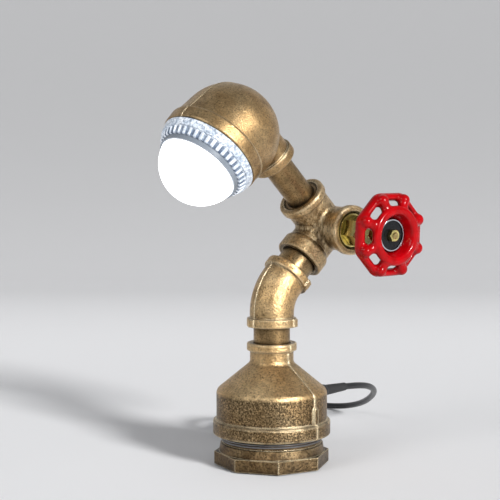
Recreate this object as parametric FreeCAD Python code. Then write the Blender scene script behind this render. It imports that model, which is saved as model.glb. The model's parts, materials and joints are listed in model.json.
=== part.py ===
import FreeCAD, Part
import math
import os
from FreeCAD import Matrix, Placement, Vector

# Table lamp screwed together from cast malleable-iron pipe fittings, in millimetres.
# Origin: centre of the foot where it stands.  +Z up, the viewer's side is -Y.
# Chain: foot bush, bell reducer, nipple, 45-degree elbow, nipple, three-way corner
# fitting, arm nipple, reducing elbow with the bulb.  A handwheel on the corner
# fitting's third port turns the rotary switch inside it.

# ---------------------------------------------------------------- directions, degrees
LEAN_AZIMUTH = 36.0     # heading in which the elbow leans, from +X towards +Y
ELBOW_ANGLE = 45.0      # bend of the elbow, from the vertical
CORNER_TURN = 3.0       # corner fitting turned on its nipple
HEAD_TURN = 5.5         # head turned on the arm
FOOT_TURN = -84.0       # one corner of the octagon, from +X towards +Y
GLAND_AZIMUTH = 45.0    # cable gland, from +X towards +Y
WHEEL_TURN = 0.0        # handwheel at rest
BEYOND = 200.0          # size of a block or plate that only cuts, past every piece

# ---------------------------------------------------------------- pipe sizes, radii
PIPE20_R = 13.45        # 3/4 inch pipe, outside
PIPE20_BORE_R = 10.9
PIPE15_R = 10.65        # 1/2 inch pipe, outside
PIPE15_BORE_R = 8.1
THREAD65_R = 36.6       # foot thread in the bell
TURN_GAP = 0.05         # radial clearance of a joint that turns
END_GAP = 0.3           # clearance at the end of a joint that turns
GRIP20 = 12.7           # screwed length of a 3/4 inch joint
GRIP15 = 13.0           # screwed length of a 1/2 inch joint
GRIP65 = 15.0           # screwed length of the foot
THREAD_EDGE = 0.8       # chamfer on the end of an outside thread
THREAD_MOUTH = 1.2      # countersink at the mouth of a threaded bore

# ---------------------------------------------------------------- foot
PAD_R = 35.0
PAD_T = 1.0
FOOT_CORNER_R = 42.7    # across the octagon's corners, halved
FOOT_SIDES = 8
FOOT_H = 9.3            # straight faces of the octagon
SHOULDER_H = 6.7        # round shoulder over the octagon
SHOULDER_R = 37.9       # its upper edge
FOOT_FLOOR_T = 6.0
FOOT_WALL = 5.0
THREAD_GAP = 6.2        # thread left open between shoulder and bell

# ---------------------------------------------------------------- bell reducer
BELL_BAND_R = 43.4
BELL_BAND_H = 10.6
BELL_BODY_R = 40.9
BELL_BODY_H = 21.9      # straight wall over the band
BELL_CONE_H = 20.4
BELL_WALL = 4.4
NECK_R = 16.1
NECK_H = 9.0            # neck between cone and neck band
NECK_BAND_R = 18.4
NECK_BAND_H = 5.6
SEAM_AZIMUTH = -41.0    # mould parting line of the bell
SEAM_W = 1.4
SEAM_PROUD = 0.5
LUG_W = 4.6             # long pad on the parting line
LUG_H = 13.0
LUG_PROUD = 1.6

# ---------------------------------------------------------------- 3/4 inch fittings
BODY20_R = 16.3
BAND20_R = 18.4
BAND20_H = 6.5
PASS20_R = 11.4         # waterway of the fittings
ELBOW_REACH = 23.4      # elbow, centre to end
ELBOW_BEND_R = 33.0
CORNER_REACH = 33.6     # corner fitting, centre to end
NIPPLE_SHOW = 11.7      # bare length of each 3/4 inch nipple
CREASE_R = 3.0          # fillet between the corner fitting's branches
BEAD_R = 1.7            # rounding of its two short bands
RISE_BAND_H = 14.0      # long band of its port over the elbow
RISE_SHOULDER = 4.0     # slope from the plain body to the long band
RISE_ROUND = 4.0        # rounding where the slope meets the long band
RIB_W = 5.6             # wrench ribs on the elbow's bands
RIB_PROUD = 1.1
LOW_RIBS = (60.0, 180.0, 300.0)     # round the lower band, from the inside of the bend
HIGH_RIBS = (105.0, 300.0)          # round the upper band
ELBOW_SEAM_W = 1.2      # mould parting line down the outside of the bend
ELBOW_SEAM_PROUD = 0.4

# ---------------------------------------------------------------- arm and head
BUSH_SINK = 0.8         # reducing bush under the port's face
ARM_SHOW = 35.8         # bare length of the arm
HEAD_BALL_R = 36.6      # round back of the head and the straight part behind the band
HEAD_BALL_DEPTH = 17.5  # ball centre, from the inlet's axis towards the mouth
HEAD_BALL_SHIFT = 3.5   # ball centre, from the mouth's axis towards the inlet
HEAD_LEAN = 10.0        # straight part, from the mouth's axis away from the inlet
HEAD_SEAM_W = 1.2       # mould parting line over the back of the head
HEAD_SEAM_PROUD = 0.4
HEAD_SEAM_TURN = -4.0   # parting line, round the mouth's axis
HEAD_WALL = 4.6
MOUTH_REACH = 40.0      # inlet's axis to mouth
MOUTH_BAND_R = 37.3
MOUTH_BAND_H = 10.0
MOUTH_BORE_R = 29.8
MOUTH_BORE_H = 15.0
INLET_REACH = 48.9      # mouth's axis to the arm's port
INLET_BODY_R = 15.4
INLET_BAND_R = 17.2
INLET_BAND_H = 7.0
INLET_FILLET_R = 5.0    # from the head's ball to its small port

# ---------------------------------------------------------------- lamp holder and bulb
CAP_R = 13.0            # screw cap of the bulb
CAP_H = 22.0
CAP_TOP = 24.0          # end of the cap nearest the mouth, from the inlet's axis
HOLDER_WALL = 5.0
HOLDER_BACK_T = 4.0
HOLDER_FLANGE_R = 24.0
HOLDER_FLANGE_T = 2.5
SEAT_PLATE_R = 28.4
SEAT_PLATE_T = 2.0
SEAT_LEDGE = 3.0        # ledge in the head under the seat plate
HOLDER_SCREW_R = 1.5
HOLDER_SCREW_HEAD_R = 2.6
HOLDER_SCREW_HEAD_H = 1.8
HOLDER_SCREW_PCD_R = 21.3
CONTACT_R = 5.0
CONTACT_T = 2.0
HOUSING_R = 28.8
RING_R = 36.6           # clear ring in front of the mouth
RING_BORE_R = 28.0
RING_H = 10.8
RING_RIM_H = 6.0        # plain rim next to the mouth
RING_RIM_R = 35.2       # plain rim, where the teeth begin
RING_STEP = 0.5         # ledge between the rim and the toothed slope
RING_TEETH = 44
RING_VALLEY = 0.965     # radius between two teeth, as a share of that at their tips
RING_FRONT_R = 32.8     # toothed slope, at its front
COLLAR_R = 30.7
COLLAR_BORE_R = 28.0
COLLAR_H = 3.8
DOME_R = 29.6
DOME_CENTRE = 9.6       # dome centre in front of the mouth
DOME_WALL = 1.4
BOARD_T = 1.6
CHIPS = 8
CHIP_SIZE = 3.0

# ---------------------------------------------------------------- valve and handwheel
BONNET_FLATS = 19.6
BONNET_H = 12.4
BONNET_EDGE_R = 12.4    # round shoulder between the hexagon and its thread
BONNET_EDGE_H = 1.0
BONNET_SINK = 1.8       # thread's end, under the port's face
BONNET_NECK_R = 6.6
BONNET_NECK_H = 2.0
BONNET_THREAD_H = 13.0
PACKING_FLATS = 14.0
PACKING_H = 10.0
PACKING_BORE_R = 5.5
PACKING_LID = 2.4       # solid end of the packing nut
PACKING_RING_H = 3.0
STEM_R = 3.9
STEM_COLLAR_R = 6.4
STEM_COLLAR_H = 3.0
STEM_SQUARE = 5.6
STEM_TONGUE_R = 2.5
STEM_TONGUE_H = 4.0
STEM_END_R = 2.4
WHEEL_CENTRE = 69.7     # rim plane, from the corner fitting's centre
LOBES = 8
RIM_FLAT = 29.5         # wheel axis to the outside of each straight side
RIM_W = 5.0
RIM_H = 7.4
RIM_Z = 0.4             # middle of the rim, past the wheel's plane
RIM_CORNER_R = 7.0
KNUCKLE_AT = 26.8       # centres of the rim's corner knuckles
KNUCKLE_R = 4.0
KNUCKLE_Z = 4.6
SPOKE_R = 3.3
SPOKE_END = 16.7        # spoke's inner end, inside the raised ring
SPOKE_SINK = 0.4        # top of the spoke's inner end, under the ring's crest
DISH_R = 18.6           # raised inner ring, at its crest
DISH_TOP = 10.6
DISH_HALF_W = 2.5
DISH_OUTER_H = 7.2      # height where the ring's outer wall turns in
DISH_FOOT = -1.0
DISH_FOOT_R = 10.8      # inner wall at the foot
DISH_FOOT_W = 2.6
HUB_R = 7.6
HUB_BACK = -7.0
HUB_FACE = 2.8
HUB_ARMS = 4
HUB_ARM_W = 5.0
HUB_ARM_T = 2.6
DISC_R = 11.7
DISC_T = 1.2
DISC_LIP = 0.9
DISC_LIP_W = 1.3
NUT_FLATS = 8.0
NUT_H = 3.8
STEM_PAST_NUT = 0.9

# ---------------------------------------------------------------- rotary switch
SWITCH_R = 9.0
SWITCH_NOSE_R = 6.0
SWITCH_NOSE_H = 2.0
LEAD_R = 2.0            # inner lead

# ---------------------------------------------------------------- cable gland and cord
GLAND_Z = 47.5
GLAND_SHANK_R = 4.6
GLAND_FLANGE_R = 7.0
GLAND_FLANGE_T = 2.6
GLAND_BODY_R = 5.3
GLAND_TIP_R = 4.4
GLAND_BODY_H = 15.0
LOCKNUT_FLATS = 13.0
LOCKNUT_T = 3.0
BOOT_R = 4.1
BOOT_TIP_R = 3.1
BOOT_H = 23.0
BLOCK_SIZE = (18.0, 12.0, 9.0)
CORD_R = 2.5
CORD_ROUTE = [          # chosen by hand, after the end of the strain relief
    (73.5, 73.0, 46.5),
    (85.0, 103.0, 38.0),
    (87.0, 139.0, 25.5),
    (80.0, 174.0, 12.0),
    (64.0, 203.0, 3.8),
    (38.0, 220.0, 2.5),
    (2.0, 215.0, 2.5),
    (-24.0, 189.0, 2.5),
    (-31.0, 159.0, 2.5),
]
COIL_CENTRE = (0.0, 112.0)
COIL_MEAN_R = 26.5
COIL_ROWS = 3
COIL_ENTRY = 18.0       # end of the cord inside the coil, past its middle
PLUG_BODY = (32.0, 24.0, 12.0)
PLUG_PIN_R = 2.0
PLUG_PIN_L = 19.0
PLUG_PIN_SPACING = 19.0
PLUG_TAIL = 10.0
PLUG_OVER = (3.0, -20.0)    # plug's middle, from the coil's

# ---------------------------------------------------------------- worked-out places
FOOT_TOP = PAD_T + FOOT_H
SHOULDER_TOP = FOOT_TOP + SHOULDER_H
BELL_Z = SHOULDER_TOP + THREAD_GAP
BELL_BAND_TOP = BELL_Z + BELL_BAND_H
BELL_BODY_TOP = BELL_BAND_TOP + BELL_BODY_H
BELL_CONE_TOP = BELL_BODY_TOP + BELL_CONE_H
NECK_TOP = BELL_CONE_TOP + NECK_H
BELL_TOP = NECK_TOP + NECK_BAND_H
ELBOW_Z = BELL_TOP + NIPPLE_SHOW + ELBOW_REACH
CORNER_ALONG = ELBOW_REACH + NIPPLE_SHOW + CORNER_REACH
HEAD_ALONG = CORNER_REACH + ARM_SHOW + INLET_REACH
BELL_INNER_R = BELL_BODY_R - BELL_WALL
HEAD_INNER_R = HEAD_BALL_R - HEAD_WALL
HOLDER_R = CAP_R + HOLDER_WALL
SEAT_LEVEL = CAP_TOP - HOLDER_FLANGE_T - SEAT_PLATE_T
BALL_CENTRE = Vector(-HEAD_BALL_SHIFT, 0, HEAD_BALL_DEPTH)


def azimuth(degrees):
    """Level unit vector at a heading from +X towards +Y."""
    return Vector(math.cos(math.radians(degrees)), math.sin(math.radians(degrees)), 0)


def leaning(level, up, angle):
    """Unit vector at an angle from one direction towards another."""
    return up * math.cos(math.radians(angle)) + level * math.sin(math.radians(angle))


UP = Vector(0, 0, 1)
LEAN = azimuth(LEAN_AZIMUTH)
RISE = leaning(LEAN, UP, ELBOW_ANGLE)                 # elbow to corner fitting
ARM_FLAT = leaning(-UP, LEAN, ELBOW_ANGLE) * -1       # arm with no turn
WHEEL_FLAT = RISE.cross(ARM_FLAT)
ARM = leaning(WHEEL_FLAT, ARM_FLAT, CORNER_TURN)      # corner fitting to head
WHEEL_AXIS = RISE.cross(ARM)
MOUTH = leaning(WHEEL_AXIS, RISE * -1, HEAD_TURN)     # head centre to bulb
ELBOW_CENTRE = Vector(0, 0, ELBOW_Z)
CORNER_CENTRE = ELBOW_CENTRE + RISE * CORNER_ALONG
HEAD_CENTRE = CORNER_CENTRE + ARM * HEAD_ALONG


def frame(origin, z_axis, x_axis):
    """Placement that carries +Z to z_axis and +X to x_axis."""
    y_axis = z_axis.cross(x_axis)
    return Placement(Matrix(
        x_axis.x, y_axis.x, z_axis.x, origin.x,
        x_axis.y, y_axis.y, z_axis.y, origin.y,
        x_axis.z, y_axis.z, z_axis.z, origin.z,
        0, 0, 0, 1))


ELBOW_FRAME = frame(ELBOW_CENTRE, UP, LEAN)
RISE_FRAME = frame(ELBOW_CENTRE, RISE, WHEEL_AXIS)
ARM_PORT = frame(CORNER_CENTRE, ARM, WHEEL_AXIS)
VALVE_PORT = frame(CORNER_CENTRE, WHEEL_AXIS, RISE)
WHEEL_UP = leaning(ARM, RISE, ELBOW_ANGLE)
WHEEL_FRAME = frame(CORNER_CENTRE + WHEEL_AXIS * WHEEL_CENTRE, WHEEL_AXIS, WHEEL_UP)
HEAD_FRAME = frame(HEAD_CENTRE, MOUTH, ARM)
GLAND_DIR = azimuth(GLAND_AZIMUTH)
GLAND_FRAME = frame(Vector(0, 0, GLAND_Z), GLAND_DIR, UP)


def placed(shape, placement):
    copy = shape.copy()
    copy.transformShape(placement.toMatrix())
    return copy


# ---------------------------------------------------------------- outlines
def rounded_edges(points, to_space):
    """Edges of a closed outline of (u, v) or (u, v, corner radius) points."""
    corners = [(Vector(p[0], p[1], 0), p[2] if len(p) > 2 else 0.0) for p in points]
    count = len(corners)
    starts, ends, arcs = [], [], []
    for i, (here, radius) in enumerate(corners):
        back = (corners[i - 1][0] - here).normalize()
        ahead = (corners[(i + 1) % count][0] - here).normalize()
        half = math.acos(max(-1.0, min(1.0, back.dot(ahead)))) / 2
        if radius == 0 or abs(half - math.pi / 2) < 1e-6:
            starts.append(here)
            ends.append(here)
            arcs.append(None)
            continue
        cut = radius / math.tan(half)
        middle = (back + ahead).normalize() * (radius / math.sin(half) - radius)
        starts.append(here + back * cut)
        ends.append(here + ahead * cut)
        arcs.append(here + middle)
    edges = []
    for i in range(count):
        if arcs[i] is not None:
            edges.append(Part.Arc(to_space(starts[i]), to_space(arcs[i]), to_space(ends[i])).toShape())
        after = starts[(i + 1) % count]
        if (after - ends[i]).Length > 1e-6:
            edges.append(Part.LineSegment(to_space(ends[i]), to_space(after)).toShape())
    return edges


def turned(points):
    """Solid turned about Z from a closed outline of (radius, height) points."""
    edges = rounded_edges(points, lambda p: Vector(p.x, 0, p.y))
    face = Part.Face(Part.Wire(edges))
    return face.revolve(Vector(0, 0, 0), UP, 360)


def rod(radius, low, high):
    return Part.makeCylinder(radius, high - low, Vector(0, 0, low))


def ring(outer, inner, low, high):
    return rod(outer, low, high).cut(rod(inner, low - 1, high + 1))


def prism(sides, corner_r, low, high, first=0.0):
    """Upright prism on a regular polygon."""
    step = 360.0 / sides
    corners = [azimuth(first + step * i) * corner_r + UP * low for i in range(sides + 1)]
    return Part.Face(Part.makePolygon(corners)).extrude(UP * (high - low))


def hex_nut(flats, low, high, chamfer=1.0):
    """Hexagon with both ends turned off at the corners."""
    corner_r = flats / math.sqrt(3)
    turn = turned([(0, low), (flats / 2, low), (corner_r, low + chamfer * 0.6),
                   (corner_r, high - chamfer * 0.6), (flats / 2, high), (0, high)])
    return prism(6, corner_r, low, high, 30).common(turn)


def around(shape, count, first=0.0):
    """Copies of a shape turned evenly about Z."""
    copies = []
    for i in range(count):
        copy = shape.copy()
        copy.rotate(Vector(0, 0, 0), UP, first + 360.0 * i / count)
        copies.append(copy)
    return copies


# ---------------------------------------------------------------- cast ports
def port_outside(body_r, band_r, band_h, reach, start=0.0):
    """Branch of a cast fitting along +Z: plain body, then the band at its end."""
    return turned([(0, start), (body_r, start), (body_r, reach - band_h, 0.8),
                   (band_r, reach - band_h, 0.7), (band_r, reach, 1.2), (0, reach)])


def port_bore(thread_r, pass_r, reach, depth, start=0.0):
    """What is cut from a branch: waterway, threaded bore and its countersink."""
    return turned([(0, start), (pass_r, start), (pass_r, reach - depth),
                   (thread_r, reach - depth), (thread_r, reach - THREAD_MOUTH),
                   (thread_r + THREAD_MOUTH, reach), (thread_r + THREAD_MOUTH, reach + 1),
                   (0, reach + 1)])


def nipple(outer, bore, low, high):
    """Cut length of pipe, its ends chamfered."""
    edge = THREAD_EDGE
    return turned([(bore, low), (outer - edge, low), (outer, low + edge),
                   (outer, high - edge), (outer - edge, high), (bore, high)])


# ---------------------------------------------------------------- foot and bell
def make_foot_pad():
    return rod(PAD_R, 0, PAD_T)


def make_foot_bush():
    flat_r = FOOT_CORNER_R * math.cos(math.pi / FOOT_SIDES)
    head = prism(FOOT_SIDES, FOOT_CORNER_R, PAD_T, FOOT_TOP, FOOT_TURN)
    thread_top = BELL_Z + GRIP65
    floor = PAD_T + FOOT_FLOOR_T
    inner_r = THREAD65_R - FOOT_WALL
    upper = turned([(0, PAD_T), (flat_r - 1, PAD_T), (flat_r - 0.6, FOOT_TOP),
                    (SHOULDER_R, SHOULDER_TOP, 1.2), (THREAD65_R, SHOULDER_TOP),
                    (THREAD65_R, thread_top - 1), (THREAD65_R - 1, thread_top), (0, thread_top)])
    hollow = turned([(0, floor), (inner_r, floor, 3), (inner_r, thread_top + 1), (0, thread_top + 1)])
    return head.fuse(upper).cut(hollow).removeSplitter()


def bell_outline(proud=0.0):
    """Outside of the bell from the rim to the neck band, as (radius, height, corner)."""
    return [(BELL_BAND_R + proud, BELL_Z, 1.2),
            (BELL_BAND_R + proud, BELL_BAND_TOP + proud, 1.4),
            (BELL_BODY_R + proud, BELL_BAND_TOP + proud, 0.8),
            (BELL_BODY_R + proud, BELL_BODY_TOP, 6.0),
            (NECK_R + proud, BELL_CONE_TOP + proud, 4.0),
            (NECK_R + proud, NECK_TOP - proud, 0.6),
            (NECK_BAND_R + proud, NECK_TOP - proud, 0.6),
            (NECK_BAND_R + proud, BELL_TOP, 1.0)]


def bell_seams():
    """Parting-line fins on both sides, with a long pad on the front one."""
    outline = [(NECK_R - 1, BELL_Z)] + bell_outline(SEAM_PROUD) + [(NECK_R - 1, BELL_TOP)]
    edges = rounded_edges(outline, lambda p: Vector(p.x, -SEAM_W / 2, p.y))
    fin = Part.Face(Part.Wire(edges)).extrude(Vector(0, SEAM_W, 0))
    low = BELL_BAND_TOP + LUG_W / 2
    run = LUG_H - LUG_W
    lug = Part.makeCylinder(LUG_W / 2, BELL_BODY_R + LUG_PROUD, Vector(0, 0, low), Vector(1, 0, 0))
    upper = lug.translated(UP * run)
    middle = Part.makeBox(BELL_BODY_R + LUG_PROUD, LUG_W, run, Vector(0, -LUG_W / 2, low))
    fins = around(fin, 2, SEAM_AZIMUTH)
    lugs = around(lug.fuse([upper, middle]), 2, SEAM_AZIMUTH)
    return fins + lugs


def make_bell_reducer():
    outside = turned([(0, BELL_Z)] + bell_outline() + [(0, BELL_TOP)])
    wide_mouth = THREAD65_R + THREAD_MOUTH
    neck_mouth = PIPE20_R + THREAD_MOUTH
    thread_end = BELL_Z + GRIP65 + 2
    inside = turned([(0, BELL_Z - 1), (wide_mouth, BELL_Z - 1), (wide_mouth, BELL_Z),
                     (THREAD65_R, BELL_Z + THREAD_MOUTH), (THREAD65_R, thread_end),
                     (BELL_INNER_R, thread_end), (BELL_INNER_R, BELL_BODY_TOP - 1, 5),
                     (PIPE20_BORE_R, BELL_CONE_TOP - 3, 3), (PIPE20_BORE_R, BELL_TOP - GRIP20),
                     (PIPE20_R, BELL_TOP - GRIP20), (PIPE20_R, BELL_TOP - THREAD_MOUTH),
                     (neck_mouth, BELL_TOP), (neck_mouth, BELL_TOP + 1), (0, BELL_TOP + 1)])
    gland_hole = placed(rod(GLAND_SHANK_R, BELL_INNER_R - 4, BELL_BODY_R + 4), GLAND_FRAME)
    return outside.fuse(bell_seams()).cut([inside, gland_hole]).removeSplitter()


def make_base_nipple():
    top = ELBOW_Z - ELBOW_REACH + GRIP20
    return nipple(PIPE20_R, PIPE20_BORE_R, BELL_TOP - GRIP20, top)


def make_terminal_block():
    length, width, height = BLOCK_SIZE
    corner = Vector(-length / 2, -width / 2, PAD_T + FOOT_FLOOR_T)
    block = Part.makeBox(length, width, height, corner)
    well = rod(1.6, corner.z + height * 0.5, corner.z + height + 1)
    wells = [well.translated(Vector(x, 0, 0)) for x in (-length / 3, length / 3)]
    return block.cut(wells)


# ---------------------------------------------------------------- elbow and its nipple
def bend(radius):
    """Curved part of the elbow, from its lower leg to its upper one."""
    tangent = ELBOW_BEND_R * math.tan(math.radians(ELBOW_ANGLE / 2))
    start = Part.Face(Part.Wire(Part.makeCircle(radius, Vector(0, 0, -tangent), UP)))
    centre = Vector(ELBOW_BEND_R, 0, -tangent)
    return start.revolve(centre, Vector(0, 1, 0), ELBOW_ANGLE), tangent


def elbow_legs(shape_low, shape_high):
    """One shape for each leg, drawn along +Z, carried to the elbow's two ends."""
    level = Vector(1, 0, 0)
    down = frame(Vector(0, 0, 0), UP * -1, level)
    rise = leaning(level, UP, ELBOW_ANGLE)
    side = leaning(UP * -1, level, ELBOW_ANGLE)
    return [placed(shape_low, down), placed(shape_high, frame(Vector(0, 0, 0), rise, side))]


def band_ribs(turns):
    """Wrench ribs round one band."""
    depth = BAND20_R + RIB_PROUD - BODY20_R
    rib = Part.makeBox(depth, RIB_W, BAND20_H - 1.0,
                       Vector(BODY20_R, -RIB_W / 2, ELBOW_REACH - BAND20_H + 0.5))
    return [around(rib, 1, turn)[0] for turn in turns]


def elbow_seam(tangent):
    """Parting line down the outside of the bend, from band to band."""
    depth = BODY20_R / 4
    outside = -BODY20_R - ELBOW_SEAM_PROUD
    straight = ELBOW_REACH - BAND20_H / 2 - tangent
    low = Part.makeBox(depth, ELBOW_SEAM_W, straight,
                       Vector(outside, -ELBOW_SEAM_W / 2, -tangent - straight))
    section = Part.makePlane(depth, ELBOW_SEAM_W, Vector(outside, -ELBOW_SEAM_W / 2, -tangent))
    curve = section.revolve(Vector(ELBOW_BEND_R, 0, -tangent), Vector(0, 1, 0), ELBOW_ANGLE)
    high = low.translated(UP * straight)
    high.rotate(Vector(ELBOW_BEND_R, 0, -tangent), Vector(0, 1, 0), ELBOW_ANGLE)
    return [low, curve, high]


def make_elbow():
    outer, tangent = bend(BODY20_R)
    inner = bend(PASS20_R)[0]
    leg = port_outside(BODY20_R, BAND20_R, BAND20_H, ELBOW_REACH, tangent)
    depth = GRIP20 + END_GAP
    low_bore = port_bore(PIPE20_R + TURN_GAP, PASS20_R, ELBOW_REACH, depth, tangent - 6)
    high_bore = port_bore(PIPE20_R, PASS20_R, ELBOW_REACH, depth, tangent - 6)
    legs = elbow_legs(leg.fuse(band_ribs(LOW_RIBS)), leg.fuse(band_ribs(HIGH_RIBS)))
    body = outer.fuse(legs + elbow_seam(tangent))
    body = body.cut([inner] + elbow_legs(low_bore, high_bore)).removeSplitter()
    return placed(body, ELBOW_FRAME)


def make_elbow_nipple():
    low = ELBOW_REACH - GRIP20
    high = ELBOW_REACH + NIPPLE_SHOW + GRIP20
    return placed(nipple(PIPE20_R, PIPE20_BORE_R, low, high), RISE_FRAME)


# ---------------------------------------------------------------- corner fitting
def crease_edges(shape):
    """Edges where two plain branches of the corner fitting meet."""
    found = []
    for edge in shape.Edges:
        faces = [face for face in shape.Faces if any(edge.isSame(other) for other in face.Edges)]
        round_faces = [face for face in faces if isinstance(face.Surface, Part.Cylinder)
                       and abs(face.Surface.Radius - BODY20_R) < 1e-4]
        if len(faces) == 2 and len(round_faces) == 2:
            axes = [face.Surface.Axis for face in round_faces]
            if abs(axes[0].dot(axes[1])) < 0.5:
                found.append(edge)
    return found


def make_corner_fitting():
    branch = rod(BODY20_R, 0, CORNER_REACH - BAND20_H / 2)
    core = Part.makeSphere(BODY20_R)
    arm_port = frame(Vector(0, 0, 0), Vector(1, 0, 0), Vector(0, 1, 0))
    rise_port = frame(Vector(0, 0, 0), Vector(0, 1, 0), UP)
    valve_port = frame(Vector(0, 0, 0), UP, Vector(1, 0, 0))
    ports = (arm_port, rise_port, valve_port)
    body = core.fuse([placed(branch, port) for port in ports]).removeSplitter()
    body = body.makeFillet(CREASE_R, crease_edges(body))
    start = CORNER_REACH - BAND20_H
    band = turned([(0, start), (BAND20_R, start, BEAD_R), (BAND20_R, CORNER_REACH, BEAD_R),
                   (0, CORNER_REACH)])
    start = CORNER_REACH - RISE_BAND_H
    long_band = turned([(0, start), (BODY20_R - 0.4, start), (BAND20_R, start + RISE_SHOULDER, RISE_ROUND),
                        (BAND20_R, CORNER_REACH, 1.2), (0, CORNER_REACH)])
    bands = [placed(band, arm_port), placed(long_band, rise_port), placed(band, valve_port)]
    body = body.fuse(bands)
    turning = port_bore(PIPE20_R + TURN_GAP, PASS20_R, CORNER_REACH, GRIP20 + END_GAP)
    fixed = port_bore(PIPE20_R, PASS20_R, CORNER_REACH, GRIP20 + BUSH_SINK)
    cuts = [placed(fixed, arm_port), placed(turning, rise_port), placed(fixed, valve_port)]
    body = body.cut(cuts + [Part.makeSphere(PASS20_R)]).removeSplitter()
    return placed(body, frame(CORNER_CENTRE, WHEEL_AXIS, ARM))


# ---------------------------------------------------------------- arm
def make_arm_bush():
    high = CORNER_REACH - BUSH_SINK
    low = high - GRIP20
    edge = THREAD_EDGE
    bush = turned([(PIPE15_R, low), (PIPE20_R - edge, low), (PIPE20_R, low + edge),
                   (PIPE20_R, high - 0.4), (PIPE20_R - 0.4, high), (PIPE15_R + 0.6, high),
                   (PIPE15_R, high - 0.6)])
    return placed(bush, ARM_PORT)


def make_arm_nipple():
    low = CORNER_REACH - BUSH_SINK - GRIP20
    high = HEAD_ALONG - INLET_REACH + GRIP15
    return placed(nipple(PIPE15_R, PIPE15_BORE_R, low, high), ARM_PORT)


# ---------------------------------------------------------------- head
def inlet_in_head():
    """The inlet's axis seen in the head's own frame, where +X is the arm's direction."""
    return frame(Vector(0, 0, 0), Vector(-1, 0, 0), UP)


def inlet_joint(shape):
    """Edges where the small port leaves the head's ball."""
    found = []
    for edge in shape.Edges:
        faces = [face for face in shape.Faces if any(edge.isSame(other) for other in face.Edges)]
        kinds = [type(face.Surface) for face in faces]
        if Part.Sphere in kinds and Part.Cylinder in kinds:
            pipe = faces[kinds.index(Part.Cylinder)].Surface
            if abs(pipe.Radius - INLET_BODY_R) < 1e-4:
                found.append(edge)
    return found


def head_back(proud=0.0):
    """Round back of the head, which runs on straight to the mouth band."""
    radius = HEAD_BALL_R + proud
    top = Vector(0, 0, MOUTH_REACH)
    slant = radius * math.sqrt(0.5)
    arc = Part.Arc(Vector(0, 0, -radius), Vector(slant, 0, -slant), Vector(radius, 0, 0)).toShape()
    side = Part.makePolygon([Vector(radius, 0, 0), Vector(radius, 0, top.z), top, Vector(0, 0, -radius)])
    body = Part.Face(Part.Wire([arc] + side.Edges)).revolve(Vector(0, 0, 0), UP, 360)
    body.rotate(Vector(0, 0, 0), Vector(0, 1, 0), HEAD_LEAN)
    below = Part.makeBox(BEYOND, BEYOND, BEYOND, Vector(-BEYOND / 2, -BEYOND / 2, -BEYOND))
    below.translate(UP * (MOUTH_REACH - MOUTH_BAND_H))
    return body.translated(BALL_CENTRE).common(below)


def mouth_band(proud=0.0):
    start = MOUTH_REACH - MOUTH_BAND_H
    return turned([(0, start), (MOUTH_BAND_R + proud, start, 1.2),
                   (MOUTH_BAND_R + proud, MOUTH_REACH, 1.4), (0, MOUTH_REACH)])


def head_seam():
    """Parting line over the back of the head and its band, on the side away from the inlet."""
    plate = Part.makeBox(BEYOND, HEAD_SEAM_W, BEYOND, Vector(0, -HEAD_SEAM_W / 2, -BEYOND / 2))
    plate.rotate(Vector(0, 0, 0), UP, HEAD_SEAM_TURN)
    return [whole.common(plate) for whole in (head_back(HEAD_SEAM_PROUD), mouth_band(HEAD_SEAM_PROUD))]


def make_head_elbow():
    bore_start = MOUTH_REACH - MOUTH_BORE_H
    wide = MOUTH_BORE_R + THREAD_MOUTH
    neck = placed(rod(INLET_BODY_R, 0, INLET_REACH - 1), inlet_in_head())
    body = head_back().fuse(neck).removeSplitter()
    body = body.makeFillet(INLET_FILLET_R, inlet_joint(body))
    inlet_band = turned([(0, INLET_REACH - INLET_BAND_H), (INLET_BAND_R, INLET_REACH - INLET_BAND_H, 0.7),
                         (INLET_BAND_R, INLET_REACH, 1.2), (0, INLET_REACH)])
    body = body.fuse([mouth_band(), placed(inlet_band, inlet_in_head())] + head_seam())
    hollow = Part.makeSphere(HEAD_INNER_R, BALL_CENTRE)
    hollow = hollow.common(rod(SEAT_PLATE_R - SEAT_LEDGE, -HEAD_BALL_R, SEAT_LEVEL + 1))
    bore = turned([(0, SEAT_LEVEL), (SEAT_PLATE_R, SEAT_LEVEL), (SEAT_PLATE_R, bore_start),
                   (MOUTH_BORE_R, bore_start), (MOUTH_BORE_R, MOUTH_REACH - THREAD_MOUTH),
                   (wide, MOUTH_REACH), (wide, MOUTH_REACH + 1), (0, MOUTH_REACH + 1)])
    small = port_bore(PIPE15_R + TURN_GAP, PIPE15_BORE_R, INLET_REACH, GRIP15 + END_GAP, HOLDER_R)
    small = placed(small, inlet_in_head())
    body = body.cut([hollow, bore, small]).removeSplitter()
    return placed(body, HEAD_FRAME)


# ---------------------------------------------------------------- holder and bulb
def make_holder_plate():
    plate = ring(SEAT_PLATE_R, HOLDER_R, SEAT_LEVEL, SEAT_LEVEL + SEAT_PLATE_T)
    return placed(plate.cut(holder_screw_holes()), HEAD_FRAME)


def holder_screw_holes():
    level = SEAT_LEVEL - 1
    hole = rod(HOLDER_SCREW_R, level, CAP_TOP + 1).translated(Vector(0, HOLDER_SCREW_PCD_R, 0))
    return around(hole, 2)


def make_lamp_holder():
    back = CAP_TOP - CAP_H - CONTACT_T - HOLDER_BACK_T
    flange = CAP_TOP - HOLDER_FLANGE_T
    cup = turned([(0, back), (HOLDER_R, back, 2), (HOLDER_R, flange), (HOLDER_FLANGE_R, flange),
                  (HOLDER_FLANGE_R, CAP_TOP), (CAP_R, CAP_TOP), (CAP_R, back + HOLDER_BACK_T),
                  (0, back + HOLDER_BACK_T)])
    return placed(cup.cut(holder_screw_holes()), HEAD_FRAME)


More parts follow.
